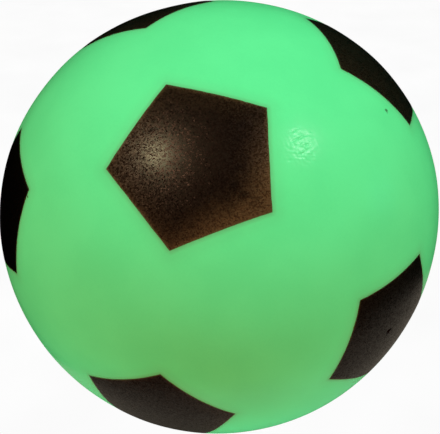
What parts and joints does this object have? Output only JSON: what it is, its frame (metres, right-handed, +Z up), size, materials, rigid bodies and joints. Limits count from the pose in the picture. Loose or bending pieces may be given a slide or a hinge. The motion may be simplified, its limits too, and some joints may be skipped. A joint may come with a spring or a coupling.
{
  "type": "foam soccer ball",
  "caption": "Soft round foam ball with a seamless mint-green skin and black pentagon prints, for kicking, throwing and catching.",
  "frame": {"origin": "centre of the ball", "axes": "+Z up, -Z through the rest patch, -Y towards the front print, +X to its right"},
  "size_m": [0.2, 0.2, 0.1995],
  "materials": {
    "foam": "open-cell flexible foam, cream",
    "green_skin": "satin elastomer coating, mint green",
    "black_ink": "matt brown-black ink with a fine grain"
  },
  "bodies": {
    "root": {"foam_core": "foam", "skin": "green_skin", "print_front": "black_ink", "print_back": "black_ink", "print_top": "black_ink", "print_underside": "black_ink", "print_left": "black_ink", "print_right": "black_ink", "print_lower_front": "black_ink", "print_upper_back": "black_ink", "print_lower_right": "black_ink", "print_back_left": "black_ink", "print_upper_right": "black_ink", "print_lower_left": "black_ink"}
  },
  "joints": []
}
